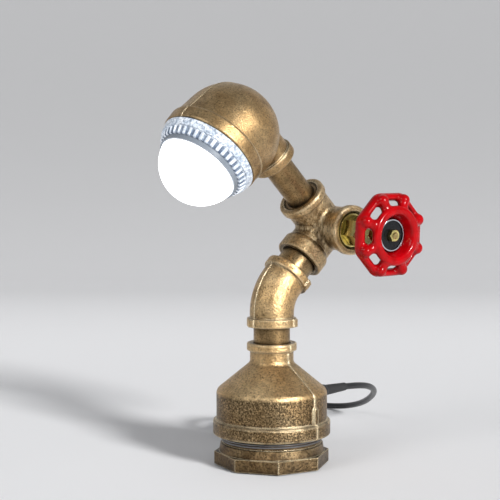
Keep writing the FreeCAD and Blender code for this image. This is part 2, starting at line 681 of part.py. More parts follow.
def make_holder_screws():
    shank = rod(HOLDER_SCREW_R, SEAT_LEVEL, CAP_TOP)
    head_top = CAP_TOP + HOLDER_SCREW_HEAD_H
    head = turned([(0, CAP_TOP), (HOLDER_SCREW_HEAD_R, CAP_TOP),
                   (HOLDER_SCREW_HEAD_R, head_top, 0.8), (0, head_top)])
    screw = shank.fuse(head).removeSplitter().translated(Vector(0, HOLDER_SCREW_PCD_R, 0))
    return placed(Part.makeCompound(around(screw, 2)), HEAD_FRAME)


def make_bulb_cap():
    low = CAP_TOP - CAP_H
    cap = turned([(0, low), (CONTACT_R + 2, low), (CAP_R, low + 4), (CAP_R, CAP_TOP),
                  (0, CAP_TOP)])
    return placed(cap, HEAD_FRAME)


def make_bulb_contact():
    low = CAP_TOP - CAP_H - CONTACT_T
    button = turned([(0, low), (CONTACT_R - 1, low, 0.8), (CONTACT_R, low + CONTACT_T),
                     (0, low + CONTACT_T)])
    return placed(button, HEAD_FRAME)


def make_bulb_housing():
    """Heat-sink body between the screw cap and the ring."""
    clear = CAP_TOP + HOLDER_SCREW_HEAD_H + 0.8
    shoulder = MOUTH_REACH - 5
    body = turned([(0, CAP_TOP), (CAP_R - 1, CAP_TOP), (CAP_R - 1, clear), (CAP_R + 2, clear),
                   (HOUSING_R - 1.5, shoulder, 3), (RING_BORE_R, MOUTH_REACH - 1),
                   (RING_BORE_R, MOUTH_REACH + RING_H), (0, MOUTH_REACH + RING_H)])
    return placed(body, HEAD_FRAME)


def make_bulb_ring():
    """Clear ring whose front slope is cut into flat facets."""
    low = MOUTH_REACH
    high = MOUTH_REACH + RING_H
    shoulder = low + RING_RIM_H
    rim = turned([(RING_BORE_R, low), (RING_R - 0.8, low), (RING_R, low + 0.8),
                  (RING_RIM_R, shoulder, 0.4), (RING_BORE_R, shoulder)])
    slope = Part.makeLoft([star(RING_RIM_R - RING_STEP, shoulder), star(RING_FRONT_R, high)], True, True)
    slope = slope.cut(rod(RING_BORE_R, low, high + 1))
    return placed(rim.fuse(slope).removeSplitter(), HEAD_FRAME)


def star(tip_r, level):
    """Outline of the ring's teeth at a level."""
    step = 180.0 / RING_TEETH
    corners = []
    for i in range(2 * RING_TEETH + 1):
        share = RING_VALLEY if i % 2 else 1.0
        corners.append(azimuth(step * i) * tip_r * share + UP * level)
    return Part.makePolygon(corners)


def make_bulb_collar():
    low = MOUTH_REACH + RING_H
    high = low + COLLAR_H
    collar = turned([(COLLAR_BORE_R, low), (COLLAR_R, low), (COLLAR_R, high, 0.3),
                     (COLLAR_BORE_R, high)])
    return placed(collar, HEAD_FRAME)


def make_led_board():
    low = MOUTH_REACH + RING_H
    board = rod(COLLAR_BORE_R, low, low + BOARD_T)
    chip = Part.makeBox(CHIP_SIZE, CHIP_SIZE, 0.8,
                        Vector(COLLAR_BORE_R * 0.6, -CHIP_SIZE / 2, low + BOARD_T))
    return placed(board.fuse(around(chip, CHIPS)).removeSplitter(), HEAD_FRAME)


def make_bulb_dome():
    centre = Vector(0, 0, MOUTH_REACH + DOME_CENTRE)
    low = MOUTH_REACH + RING_H + COLLAR_H
    outer = Part.makeSphere(DOME_R, centre)
    inner = Part.makeSphere(DOME_R - DOME_WALL, centre)
    above = Part.makeBox(BEYOND, BEYOND, BEYOND, Vector(-BEYOND / 2, -BEYOND / 2, low))
    return placed(outer.cut(inner).common(above), HEAD_FRAME)


# ---------------------------------------------------------------- valve
BONNET_FACE = CORNER_REACH
BONNET_TOP = BONNET_FACE + BONNET_H
NECK_END = BONNET_TOP + BONNET_NECK_H
PACKING_TOP = NECK_END + PACKING_H
SWITCH_FRONT = CORNER_REACH - BONNET_THREAD_H - STEM_COLLAR_H - 2 * END_GAP


def make_valve_bonnet():
    low = BONNET_FACE - BONNET_THREAD_H
    high = BONNET_FACE - BONNET_SINK
    tip = NECK_END + PACKING_H - PACKING_LID - PACKING_RING_H
    edge = THREAD_EDGE
    thread = turned([(0, low), (PIPE20_R - edge, low), (PIPE20_R, low + edge),
                     (PIPE20_R, high - edge), (PIPE20_R - edge, high), (BONNET_EDGE_R, high),
                     (BONNET_EDGE_R, high + BONNET_EDGE_H, 0.5), (0, high + BONNET_EDGE_H)])
    head = hex_nut(BONNET_FLATS, high, BONNET_TOP, 1.8)
    neck = turned([(0, BONNET_TOP - 1), (BONNET_NECK_R, BONNET_TOP - 1),
                   (BONNET_NECK_R, NECK_END), (PACKING_BORE_R, NECK_END),
                   (PACKING_BORE_R, tip - 0.6), (PACKING_BORE_R - 0.6, tip), (0, tip)])
    bore = rod(STEM_R + TURN_GAP, low - 1, tip + 1)
    return placed(head.fuse([thread, neck]).cut(bore).removeSplitter(), VALVE_PORT)


def make_packing_ring():
    high = PACKING_TOP - PACKING_LID
    return placed(ring(PACKING_BORE_R, STEM_R + TURN_GAP, high - PACKING_RING_H, high), VALVE_PORT)


def make_packing_nut():
    nut = hex_nut(PACKING_FLATS, NECK_END, PACKING_TOP, 1.6)
    crown = turned([(0, NECK_END), (20, NECK_END), (20, PACKING_TOP - 3),
                    (STEM_R + 2.5, PACKING_TOP), (0, PACKING_TOP)])
    inside = rod(PACKING_BORE_R, NECK_END - 1, PACKING_TOP - PACKING_LID)
    through = rod(STEM_R + TURN_GAP, NECK_END, PACKING_TOP + 1)
    return placed(nut.common(crown).cut([inside, through]), VALVE_PORT)


def make_rotary_switch():
    """Switch body on the inner end of the bonnet, its shaft socket facing the wheel."""
    back = LEAD_R + 0.3
    front = SWITCH_FRONT
    step = front - SWITCH_NOSE_H
    body = turned([(0, back), (SWITCH_R - 2, back), (SWITCH_R, back + 2), (SWITCH_R, step),
                   (SWITCH_NOSE_R, step), (SWITCH_NOSE_R, front), (0, front)])
    sleeve_top = BONNET_FACE - BONNET_THREAD_H
    sleeve = ring(SWITCH_R, STEM_COLLAR_R + 2 * TURN_GAP, step, sleeve_top)
    socket = rod(STEM_TONGUE_R + TURN_GAP, front - STEM_TONGUE_H - END_GAP, front + 1)
    return placed(body.fuse(sleeve).cut(socket).removeSplitter(), VALVE_PORT)


def make_valve_stem():
    """Stem: tongue in the switch, collar under the bonnet, square and screwed end."""
    front = SWITCH_FRONT
    collar = front + END_GAP
    hub_back = WHEEL_CENTRE + HUB_BACK
    hub_face = WHEEL_CENTRE + HUB_FACE
    end = hub_face + DISC_T + NUT_H + STEM_PAST_NUT
    half = STEM_SQUARE / 2
    tongue = rod(STEM_TONGUE_R, front - STEM_TONGUE_H, collar)
    shaft = turned([(0, collar), (STEM_COLLAR_R, collar), (STEM_COLLAR_R, collar + STEM_COLLAR_H),
                    (STEM_R, collar + STEM_COLLAR_H), (STEM_R, hub_back), (0, hub_back)])
    square = Part.makeBox(STEM_SQUARE, STEM_SQUARE, hub_face - hub_back,
                          Vector(-half, -half, hub_back))
    tip = turned([(0, hub_face), (STEM_END_R, hub_face), (STEM_END_R, end - 0.6),
                  (STEM_END_R - 0.6, end), (0, end)])
    stem = shaft.fuse([tongue, square, tip]).removeSplitter()
    stem.rotate(Vector(0, 0, 0), UP, WHEEL_TURN)
    return placed(stem, frame(CORNER_CENTRE, WHEEL_AXIS, WHEEL_UP))


# ---------------------------------------------------------------- handwheel
def bar(start, end, radius):
    return Part.makeCylinder(radius, (end - start).Length, start, end - start)


def wheel_rim():
    """Eight-sided rim of oval section, its corners rounded."""
    middle = RIM_FLAT - RIM_W / 2
    points = []
    for i in range(LOBES):
        here = azimuth(360.0 / LOBES * (i + 0.5)) * (middle / math.cos(math.pi / LOBES))
        points.append((here.x, here.y, RIM_CORNER_R))
    path = Part.Wire(rounded_edges(points, lambda p: p + UP * RIM_Z))
    start = path.Edges[0].valueAt(path.Edges[0].FirstParameter)
    level = Vector(start.x, start.y, 0).normalize()
    oval = Part.Ellipse(start + UP * (RIM_H / 2), start + level * (RIM_W / 2), start)
    return path.makePipeShell([Part.Wire(oval.toShape())], True, False)


def wheel_spokes():
    """A knuckle at each corner of the rim and a fat spoke from it to the raised ring."""
    pieces = []
    for i in range(LOBES):
        here = azimuth(360.0 / LOBES * (i + 0.5))
        knuckle = here * KNUCKLE_AT + UP * KNUCKLE_Z
        end = here * SPOKE_END + UP * (DISH_TOP - SPOKE_R - SPOKE_SINK)
        pieces.append(Part.makeSphere(KNUCKLE_R, knuckle))
        pieces.append(bar(knuckle, end, SPOKE_R))
    return pieces


def wheel_dish():
    """Raised inner ring, round on top, whose walls close in towards the hub."""
    inside = DISH_R - DISH_HALF_W
    outside = DISH_R + DISH_HALF_W
    return turned([(DISH_FOOT_R, DISH_FOOT, 0.8), (inside, DISH_TOP, 1.9),
                   (outside, DISH_TOP, 2.0), (outside, DISH_OUTER_H, 3.0),
                   (DISH_FOOT_R + DISH_FOOT_W, DISH_FOOT, 0.8)])


def make_handwheel():
    hub = turned([(0, HUB_BACK), (HUB_R, HUB_BACK, 0.8), (HUB_R, HUB_FACE, 0.8), (0, HUB_FACE)])
    arm = Part.makeBox(DISH_FOOT_R + DISH_FOOT_W - 0.7, HUB_ARM_W, HUB_ARM_T,
                       Vector(0, -HUB_ARM_W / 2, DISH_FOOT + 0.3))
    arms = around(arm, HUB_ARMS, 45)
    half = STEM_SQUARE / 2
    square = Part.makeBox(STEM_SQUARE, STEM_SQUARE, 40, Vector(-half, -half, -20))
    wheel = hub.fuse(arms + wheel_spokes() + [wheel_dish(), wheel_rim()])
    wheel = wheel.cut(square).removeSplitter()
    wheel.rotate(Vector(0, 0, 0), UP, WHEEL_TURN)
    return placed(wheel, WHEEL_FRAME)


def make_wheel_disc():
    face = HUB_FACE + DISC_T
    disc = turned([(STEM_END_R, HUB_FACE), (DISC_R, HUB_FACE), (DISC_R, face + DISC_LIP, 0.4),
                   (DISC_R - DISC_LIP_W, face + DISC_LIP, 0.4), (DISC_R - DISC_LIP_W, face),
                   (STEM_END_R, face)])
    return placed(disc, WHEEL_FRAME)


def make_wheel_nut():
    low = HUB_FACE + DISC_T
    nut = hex_nut(NUT_FLATS, low, low + NUT_H, 0.9).cut(rod(STEM_END_R, low - 1, low + NUT_H + 1))
    return placed(nut, WHEEL_FRAME)


# ---------------------------------------------------------------- leads inside the pipes
def curved_lead(legs, corners, radius=LEAD_R):
    """Round lead through points, with an arc at each inner point."""
    points = [Vector(*p) for p in legs]
    edges = []
    here = points[0]
    for i, bend_r in enumerate(corners, start=1):
        back = (points[i - 1] - points[i]).normalize()
        ahead = (points[i + 1] - points[i]).normalize()
        half = math.acos(back.dot(ahead)) / 2
        cut = bend_r / math.tan(half)
        start = points[i] + back * cut
        end = points[i] + ahead * cut
        middle = points[i] + (back + ahead).normalize() * (bend_r / math.sin(half) - bend_r)
        edges.append(Part.LineSegment(here, start).toShape())
        edges.append(Part.Arc(start, middle, end).toShape())
        here = end
    edges.append(Part.LineSegment(here, points[-1]).toShape())
    path = Part.Wire(edges)
    first = (points[1] - points[0]).normalize()
    section = Part.Wire(Part.makeCircle(radius, points[0], first))
    return path.makePipeShell([section], True, False), path.Length


def make_base_lead():
    low = PAD_T + FOOT_FLOOR_T + BLOCK_SIZE[2]
    return rod(LEAD_R, low, ELBOW_Z - ELBOW_REACH + GRIP20)


def make_elbow_lead():
    low = ELBOW_CENTRE - UP * (ELBOW_REACH - GRIP20 - END_GAP)
    high = ELBOW_CENTRE + RISE * (CORNER_ALONG - CORNER_REACH + GRIP20)
    return curved_lead([low, ELBOW_CENTRE, high], [20.0])[0]


def make_corner_lead():
    low = CORNER_CENTRE - RISE * (CORNER_REACH - GRIP20 - END_GAP)
    high = CORNER_CENTRE + ARM * (HEAD_ALONG - INLET_REACH + GRIP15)
    return curved_lead([low, CORNER_CENTRE, high], [16.0])[0]


def make_head_lead():
    low = HEAD_CENTRE - ARM * (INLET_REACH - GRIP15 - END_GAP)
    high = HEAD_CENTRE - ARM * HOLDER_R
    return bar(low, high, LEAD_R)


def make_inlet_lead():
    """From the gland down to the terminal block."""
    side = BLOCK_SIZE[1] / 2
    start = GLAND_DIR * (BELL_INNER_R - LOCKNUT_T) + UP * GLAND_Z
    turn = GLAND_DIR * 18 + UP * GLAND_Z
    block_mid = Vector(0, side, PAD_T + FOOT_FLOOR_T + BLOCK_SIZE[2] / 2)
    low = Vector(0, side + 9, block_mid.z)
    return curved_lead([start, turn, low, block_mid], [7.0, 5.0])[0]


# ---------------------------------------------------------------- gland and cord
def gland_at(shape):
    return placed(shape, GLAND_FRAME)


def make_cord_gland():
    face = BELL_BODY_R
    body = face + GLAND_FLANGE_T
    tip = body + GLAND_BODY_H
    inner = BELL_INNER_R - LOCKNUT_T
    shank = gland_at(ring(GLAND_SHANK_R, CORD_R, inner, face + 1))
    outside = turned([(CORD_R, face - 1), (GLAND_FLANGE_R, face - 1), (GLAND_FLANGE_R, body, 0.6),
                      (GLAND_BODY_R, body), (GLAND_BODY_R, tip - 5, 1.5), (GLAND_TIP_R, tip, 0.6),
                      (CORD_R, tip)])
    wall = rod(BELL_BODY_R, GLAND_Z - 20, GLAND_Z + 20)
    return gland_at(outside).cut(wall).fuse(shank).removeSplitter()


def make_gland_locknut():
    high = locknut_seat()
    nut = hex_nut(LOCKNUT_FLATS, high - LOCKNUT_T, high, 0.8)
    return gland_at(nut.cut(rod(GLAND_SHANK_R, high - 10, high + 1)))


def locknut_seat():
    """Where the sides of the nut's face meet the curved wall inside the bell."""
    return math.sqrt(BELL_INNER_R ** 2 - (LOCKNUT_FLATS / 2) ** 2)


def boot_start():
    return BELL_BODY_R + GLAND_FLANGE_T + GLAND_BODY_H


def make_cord_boot():
    """Tapered strain relief."""
    low = boot_start()
    high = low + BOOT_H
    boot = turned([(CORD_R, low), (BOOT_R, low), (BOOT_TIP_R, high, 0.3), (CORD_R, high)])
    return gland_at(boot)


def cord_points():
    start = GLAND_DIR * (boot_start() + BOOT_H) + UP * GLAND_Z
    entry = Vector(COIL_CENTRE[0] - COIL_MEAN_R, COIL_CENTRE[1] + COIL_ENTRY, CORD_R)
    return [start] + [Vector(*p) for p in CORD_ROUTE] + [entry]


def make_cord():
    points = cord_points()
    radii = []
    for i in range(1, len(points) - 1):
        back = points[i - 1] - points[i]
        ahead = points[i + 1] - points[i]
        half = back.getAngle(ahead) / 2
        radii.append(0.45 * min(back.Length, ahead.Length) * math.tan(half))
    shape, length = curved_lead(points, radii, CORD_R)
    print("cord radii", [round(r, 1) for r in radii], "length", round(length, 1))
    print("cord volume share", round(shape.Volume / (math.pi * CORD_R ** 2 * length), 4))
    return shape


def make_cord_coil():
    half = CORD_R * COIL_ROWS
    centre = Vector(COIL_CENTRE[0], COIL_CENTRE[1], 0)
    coil = turned([(COIL_MEAN_R - half, 0, 2), (COIL_MEAN_R + half, 0, 2),
                   (COIL_MEAN_R + half, 2 * half, 2), (COIL_MEAN_R - half, 2 * half, 2)])
    return coil.translated(centre)


def plug_place():
    """The plug lies across the coil."""
    return Vector(COIL_CENTRE[0] + PLUG_OVER[0], COIL_CENTRE[1] + PLUG_OVER[1], 2 * CORD_R * COIL_ROWS)


def make_plug_body():
    length, width, height = PLUG_BODY
    outline = [(-length / 2, -width / 2 + 5, 2), (-length / 2 + 8, -width / 2 + 1, 4),
               (length / 2 - 6, -width / 2, 5), (length / 2, -width / 2 + 3, 2),
               (length / 2, width / 2 - 3, 2), (length / 2 - 6, width / 2, 5),
               (-length / 2 + 8, width / 2 - 1, 4), (-length / 2, width / 2 - 5, 2)]
    edges = rounded_edges(outline, lambda p: Vector(p.x, p.y, 0))
    body = Part.Face(Part.Wire(edges)).extrude(UP * height)
    tail = Part.makeCone(5.0, 3.2, PLUG_TAIL, Vector(-length / 2 + 1, 0, height / 2), Vector(-1, 0, 0))
    return body.fuse(tail).removeSplitter().translated(plug_place())


def make_plug_pins():
    length, width, height = PLUG_BODY
    pins = []
    for side in (-1, 1):
        start = Vector(length / 2, side * PLUG_PIN_SPACING / 2, height / 2)
        pin = Part.makeCylinder(PLUG_PIN_R, PLUG_PIN_L, start, Vector(1, 0, 0))
        pins.append(pin)
    return Part.makeCompound(pins).translated(plug_place())


PARTS = {
    "foot_pad": make_foot_pad,
    "foot_bush": make_foot_bush,
    "bell_reducer": make_bell_reducer,
    "base_nipple": make_base_nipple,
    "terminal_block": make_terminal_block,
    "base_lead": make_base_lead,
    "inlet_lead": make_inlet_lead,
    "cord_gland": make_cord_gland,
    "gland_locknut": make_gland_locknut,
    "cord_boot": make_cord_boot,
    "cord": make_cord,
    "cord_coil": make_cord_coil,
    "plug_body": make_plug_body,
    "plug_pins": make_plug_pins,
    "elbow_45": make_elbow,
    "elbow_nipple": make_elbow_nipple,
    "elbow_lead": make_elbow_lead,
    "corner_fitting": make_corner_fitting,
    "arm_bush": make_arm_bush,
    "arm_nipple": make_arm_nipple,
    "corner_lead": make_corner_lead,
    "valve_bonnet": make_valve_bonnet,
    "packing_ring": make_packing_ring,
    "packing_nut": make_packing_nut,
    "rotary_switch": make_rotary_switch,
    "valve_stem": make_valve_stem,
    "handwheel": make_handwheel,
    "wheel_disc": make_wheel_disc,
    "wheel_nut": make_wheel_nut,
    "head_elbow": make_head_elbow,
    "head_lead": make_head_lead,
    "holder_plate": make_holder_plate,
    "holder_screws": make_holder_screws,
    "lamp_holder": make_lamp_holder,
    "bulb_cap": make_bulb_cap,
    "bulb_contact": make_bulb_contact,
    "bulb_housing": make_bulb_housing,
    "bulb_ring": make_bulb_ring,
    "bulb_collar": make_bulb_collar,
    "led_board": make_led_board,
    "bulb_dome": make_bulb_dome,
}

os.makedirs("parts", exist_ok=True)
for name, make in PARTS.items():
    shape = make()
    if not shape.isValid():
        print(name, "is not a valid shape")
    print(name, len(shape.Solids), round(shape.Volume, 1))
    shape.exportStep("parts/" + name + ".step")
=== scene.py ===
"""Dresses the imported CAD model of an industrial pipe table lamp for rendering.

The CAD nodes stay where they are and get their materials here. Added to them are the open turns of
thread over the foot, the ribs on the plug and the smooth cord. Numbers are in millimetres and
degrees unless a comment says otherwise, and MM turns millimetres into Blender's metres.
"""
import json
import math

import bmesh
import bpy
from mathutils import Matrix, Vector


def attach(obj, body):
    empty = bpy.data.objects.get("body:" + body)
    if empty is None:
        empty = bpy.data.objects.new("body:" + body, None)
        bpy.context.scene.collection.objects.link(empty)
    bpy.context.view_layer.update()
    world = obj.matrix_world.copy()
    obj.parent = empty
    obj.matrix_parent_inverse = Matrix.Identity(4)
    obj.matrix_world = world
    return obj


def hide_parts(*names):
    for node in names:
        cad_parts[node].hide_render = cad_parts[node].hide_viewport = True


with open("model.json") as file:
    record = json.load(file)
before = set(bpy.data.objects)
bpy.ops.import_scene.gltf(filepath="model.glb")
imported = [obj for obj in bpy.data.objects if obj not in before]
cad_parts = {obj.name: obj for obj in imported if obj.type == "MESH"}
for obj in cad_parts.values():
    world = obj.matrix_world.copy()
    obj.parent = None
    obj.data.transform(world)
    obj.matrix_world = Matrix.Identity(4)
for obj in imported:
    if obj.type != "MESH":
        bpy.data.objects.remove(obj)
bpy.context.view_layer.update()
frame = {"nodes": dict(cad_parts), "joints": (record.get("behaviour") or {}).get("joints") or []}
nodes = frame["nodes"]
MM = 0.001

# ------------------------------------------------------------ places and directions of the lamp
ARM_REACH = 118.3      # corner fitting's middle to the head's
HEAD_TURN = 5.5        # head turned on the arm


def hinge(name):
    """Place, in metres, and axis of a joint of the CAD model."""
    joint = next(j for j in frame["joints"] if j["name"] == name)
    return Vector(joint["pos_m"]), Vector(joint["axis"])


CORNER, WHEEL_AXIS = hinge("wheel_turn")     # middle of the corner fitting, and the valve's way out
RISE = hinge("corner_swivel")[1]             # from the elbow to the corner fitting
ARM = hinge("head_swivel")[1]                # from the corner fitting to the head
HEAD = CORNER + ARM * ARM_REACH * MM
MOUTH = WHEEL_AXIS * math.sin(math.radians(HEAD_TURN)) - RISE * math.cos(math.radians(HEAD_TURN))


# ------------------------------------------------------------ shader helpers
class Shader:
    """A material's node tree, written as short calls."""

    MIX_SOCKETS = (0, 6, 7)      # factor and the two colours, among the inputs of a Mix node
    MIX_RESULT = 2               # the colour, among its outputs
    CREVICE_SAMPLES = 8
    EDGE_SAMPLES = 4
    SPAN = 100.0                 # length that a ramp by length covers

    def __init__(self, name):
        self.material = bpy.data.materials.new(name)
        self.material.use_nodes = True
        self.tree = self.material.node_tree
        self.bsdf = self.tree.nodes["Principled BSDF"]
        self.place = None

    def node(self, kind, **settings):
        """A new node. A setting is one of its properties or inputs, with _ for each space."""
        made = self.tree.nodes.new(kind)
        for key, value in settings.items():
            if hasattr(made, key):
                setattr(made, key, value)
            else:
                made.inputs[key.replace("_", " ")].default_value = value
        return made

    def feed(self, socket, value):
        """Gives a socket another node's output, a colour as a tuple, a vector or a number."""
        if isinstance(value, bpy.types.NodeSocket):
            self.tree.links.new(value, socket)
        elif isinstance(value, tuple):
            socket.default_value = (*value, 1)
        else:
            socket.default_value = value

    def math(self, operation, *values, clamp=False):
        """Maths on one or two numbers."""
        made = self.node("ShaderNodeMath", operation=operation, use_clamp=clamp)
        for socket, value in zip(made.inputs, values):
            self.feed(socket, value)
        return made.outputs["Value"]

    def vector(self, operation, *values, output="Vector"):
        """Maths on one or two vectors."""
        made = self.node("ShaderNodeVectorMath", operation=operation)
        for socket, value in zip(made.inputs, values):
            self.feed(socket, value)
        return made.outputs[output]

    def mix(self, factor, a, b, mode="MIX"):
        """Colour a with b over it, by the factor."""
        made = self.node("ShaderNodeMix", data_type="RGBA", blend_type=mode)
        for index, value in zip(self.MIX_SOCKETS, (factor, a, b)):
            self.feed(made.inputs[index], value)
        return made.outputs[self.MIX_RESULT]

    def tinted(self, tone, tint):
        """Colour tone times tint."""
        return self.mix(1.0, tone, tint, mode="MULTIPLY")

    def ramp(self, value, stops, smooth=False):
        """A number or a colour at each stop between 0 and 1, blended from stop to stop."""
        made = self.node("ShaderNodeValToRGB")
        made.color_ramp.interpolation = "EASE" if smooth else "LINEAR"
        while len(made.color_ramp.elements) < len(stops):
            made.color_ramp.elements.new(0.5)
        for element, (at, shade) in zip(made.color_ramp.elements, stops):
            element.position = at
            element.color = (*shade, 1) if isinstance(shade, tuple) else (shade, shade, shade, 1)
        self.feed(made.inputs["Fac"], value)
        return made.outputs["Color"]

    def ramp_mm(self, length, stops):
        """A ramp whose stops are lengths under 100 mm, in rising order."""
        share = self.math("DIVIDE", length, self.SPAN)
        return self.ramp(share, [(at / self.SPAN, shade) for at, shade in stops])

    def fade(self, value, low, high, before=0.0, after=1.0, smooth=False):
        """before up to low, after from high on, and blended between them."""
        return self.ramp(value, [(low, before), (high, after)], smooth)

    def mm(self):
        """Coordinates in millimetres."""
        if self.place is None:
            source = self.node("ShaderNodeTexCoord").outputs["Object"]
            self.place = self.vector("MULTIPLY", source, Vector((1, 1, 1)) / MM)
        return self.place

    def along(self, axis):
        """One coordinate, X, Y or Z, in millimetres."""
        split = self.node("ShaderNodeSeparateXYZ")
        self.feed(split.inputs[0], self.mm())
        return split.outputs[axis]

    def away(self, centre):
        """Vector in millimetres from a place given in metres."""
        return self.vector("SUBTRACT", self.mm(), centre / MM)

    def distance(self, centre, axis=None):
        """Distance in millimetres from a place, or from an axis through it."""
        line = self.away(centre)
        if axis is not None:
            line = self.vector("CROSS_PRODUCT", line, axis)
        return self.vector("LENGTH", line, output="Value")

    def noise(self, size, detail=3.0, rough=0.55, source=None):
        """Noise between 0 and 1 whose features are about size millimetres."""
        made = self.node("ShaderNodeTexNoise", Scale=1.0 / size, Detail=detail, Roughness=rough)
        self.feed(made.inputs["Vector"], self.mm() if source is None else source)
        return made.outputs["Fac"]

    def streaks(self, size, turn, stretch):
        """Noise drawn out into streaks; turn is in radians."""
        made = self.node("ShaderNodeMapping", Rotation=turn, Scale=stretch)
        self.feed(made.inputs["Vector"], self.mm())
        return self.noise(size, detail=2.0, source=made.outputs["Vector"])

    def dents(self, size, smoothness):
        """Rounded hollows about size millimetres apart."""
        made = self.node("ShaderNodeTexVoronoi", feature="SMOOTH_F1", Scale=1.0 / size,
                         Smoothness=smoothness)
        self.feed(made.inputs["Vector"], self.mm())
        return made.outputs["Distance"]

    def crevice(self, reach):
        """1 in the open, towards 0 where walls stand close within reach."""
        made = self.node("ShaderNodeAmbientOcclusion", samples=self.CREVICE_SAMPLES,
                         Distance=reach * MM)
        return made.outputs["AO"]

    def edges(self, radius):
        """0 on a flat, towards 1 at an edge; and the normal with every edge rounded."""
        soft = self.node("ShaderNodeBevel", samples=self.EDGE_SAMPLES, Radius=radius * MM)
        rounded = soft.outputs["Normal"]
        plain = self.node("ShaderNodeNewGeometry").outputs["Normal"]
        agree = self.vector("DOT_PRODUCT", rounded, plain, output="Value")
        return self.math("SUBTRACT", 1.0, agree, clamp=True), rounded

    def bump(self, height, depth, under=None):
        """Normal of a relief that is depth millimetres high from 0 to 1 of the texture."""
        made = self.node("ShaderNodeBump", Strength=1.0, Distance=depth * MM)
        self.feed(made.inputs["Height"], height)
        if under is not None:
            self.feed(made.inputs["Normal"], under)
        return made.outputs["Normal"]

    def surface(self, **values):
        """The material, with these values on its shader; _ stands for each space."""
        for key, value in values.items():
            self.feed(self.bsdf.inputs[key.replace("_", " ")], value)
        return self.material


# ------------------------------------------------------------ bronze
SOOT_AND_SHADE = (0.016, 0.009, 0.004)           # dirt between the grains of a casting, and painted shade in its recesses
RUBBED = (0.90, 0.74, 0.48)            # paint rubbed bright on its edges
BRUSH_BRIGHT = (0.88, 0.72, 0.46)      # streaks of a wire brush
BRUSH_DULL = (0.07, 0.042, 0.02)


def dimmed(tone, share):
    """A colour taken down to a share of its values."""
    return tuple(share * value for value in tone)


def bronze_paint(s, sand, patch, brown, gold):
    """Paint in patches from brown to gold, duller between the grains, with painted shade in wide
    hollows and under parts.
    """
    warm, cool = (1.0, 0.93, 0.82), (0.97, 1.0, 1.02)
    cloud = s.noise(size=30.0, detail=2.0)
    hue = s.mix(s.fade(cloud, 0.35, 0.65), warm, cool)
    tone = s.mix(s.fade(patch, 0.34, 0.64), brown, gold)
    tone = s.tinted(tone, s.ramp(sand, [(0.32, 0.62), (0.50, 1.0), (0.68, 1.30)]))
    tone = s.tinted(tone, hue)
    # Painted shade: up to 65 % darker where other parts stand within 22 mm, and a little lighter in
    # the open.
    return s.tinted(tone, s.fade(s.crevice(reach=22.0), 0.35, 0.95, 0.35, 1.06))


def dented_part(s, tone, lie, centre, radius):
    """Tone and relief of a casting that is dented and brushed round its middle."""
    score = s.streaks(size=1.5, turn=(0.6, 0.5, 0.0), stretch=(1.0, 1.0, 0.25))
    near = s.ramp_mm(s.distance(centre), [(0.84 * radius, 1.0), (1.2 * radius, 0.15)])
    bright = s.math("MULTIPLY", near, s.fade(score, 0.52, 0.64, 0.0, 0.8))
    dull = s.math("MULTIPLY", near, s.fade(score, 0.34, 0.44, 0.8, 0.0))
    tone = s.mix(bright, tone, BRUSH_BRIGHT)
    tone = s.mix(dull, tone, BRUSH_DULL)
    hollows = s.dents(size=5.0, smoothness=0.6)
    lie = s.bump(s.math("MULTIPLY", near, score), depth=0.35, under=lie)
    lie = s.bump(s.math("MULTIPLY", near, hollows), depth=0.4, under=lie)
    return tone, lie


def soot_and_shade_share(s, sand, fine, dirt, reach):
    """How dark a casting is: dirt between its grains, and painted shade in its recesses and along
    its creases.
    """
    level = s.math("ADD", sand, s.math("MULTIPLY", s.math("SUBTRACT", fine, 0.5), 0.4))
    low = s.ramp(level, [(0.30, 1.0), (0.30 + 0.4 * dirt, 0.55), (0.34 + 0.5 * dirt, 0.0)])
    # Painted shade in the recesses and along the creases, where walls stand close.
    recess = s.fade(s.crevice(reach=reach), 0.30, 0.90, 1.0, 0.0)
    crease = s.fade(s.crevice(reach=2.6), 0.55, 0.90, 1.0, 0.0)
    hollow_shade = s.math("MAXIMUM", s.math("MULTIPLY", recess, 1.15), crease)
    return s.math("MAXIMUM", s.math("MULTIPLY", low, 0.6), hollow_shade, clamp=True)


def dark_grit_zone(s, patch, low, high):
    """How dark a wall is between two heights, in coarse grit with ragged edges."""
    ragged = s.math("ADD", s.along("Z"), s.math("MULTIPLY", patch, 3.0))
    share = s.ramp_mm(ragged, [(low, 0.0), (low + 1.0, 1.0), (high, 1.0), (high + 2.5, 0.0)])
    grit = s.noise(size=1.1, rough=0.65)
    return s.math("MULTIPLY", share, s.ramp(grit, [(0.34, 0.97), (0.50, 0.74), (0.64, 0.22)]))


